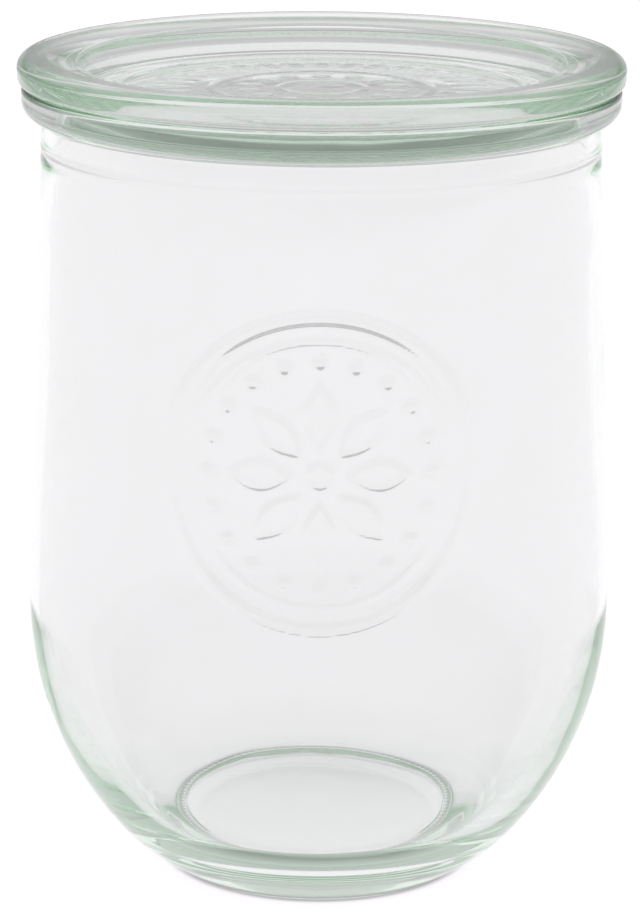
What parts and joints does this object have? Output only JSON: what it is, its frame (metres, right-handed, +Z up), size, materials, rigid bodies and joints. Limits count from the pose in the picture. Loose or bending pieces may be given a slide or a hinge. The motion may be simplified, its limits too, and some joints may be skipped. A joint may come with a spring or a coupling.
{
  "type": "canning jar",
  "caption": "Tulip-shaped clear glass canning jar with a rounded heel, a beaded rim and a loose glass lid that lifts off and has a recessed top.",
  "frame": {"origin": "middle of the bearing ring that the jar stands on, on the axis of the jar", "axes": "+Z up along the axis of the jar and the lid; +X to the right and +Y away from the viewer of the pictured side"},
  "size_m": [0.1102, 0.1102, 0.1524],
  "materials": {
    "jar_glass": "clear soda-lime glass with a faint green tint in the thick parts, fire-polished and glossy",
    "lid_glass": "clear pressed soda-lime glass with a faint green tint, glossy"
  },
  "bodies": {
    "jar": {"jar_body": "jar_glass"},
    "lid": {"lid": "lid_glass"}
  },
  "joints": [
    {"name": "lid_lift", "type": "slide", "parent": "jar", "child": "lid", "axis": [0, 0, 1], "range_m": [0, 0.08]}
  ]
}
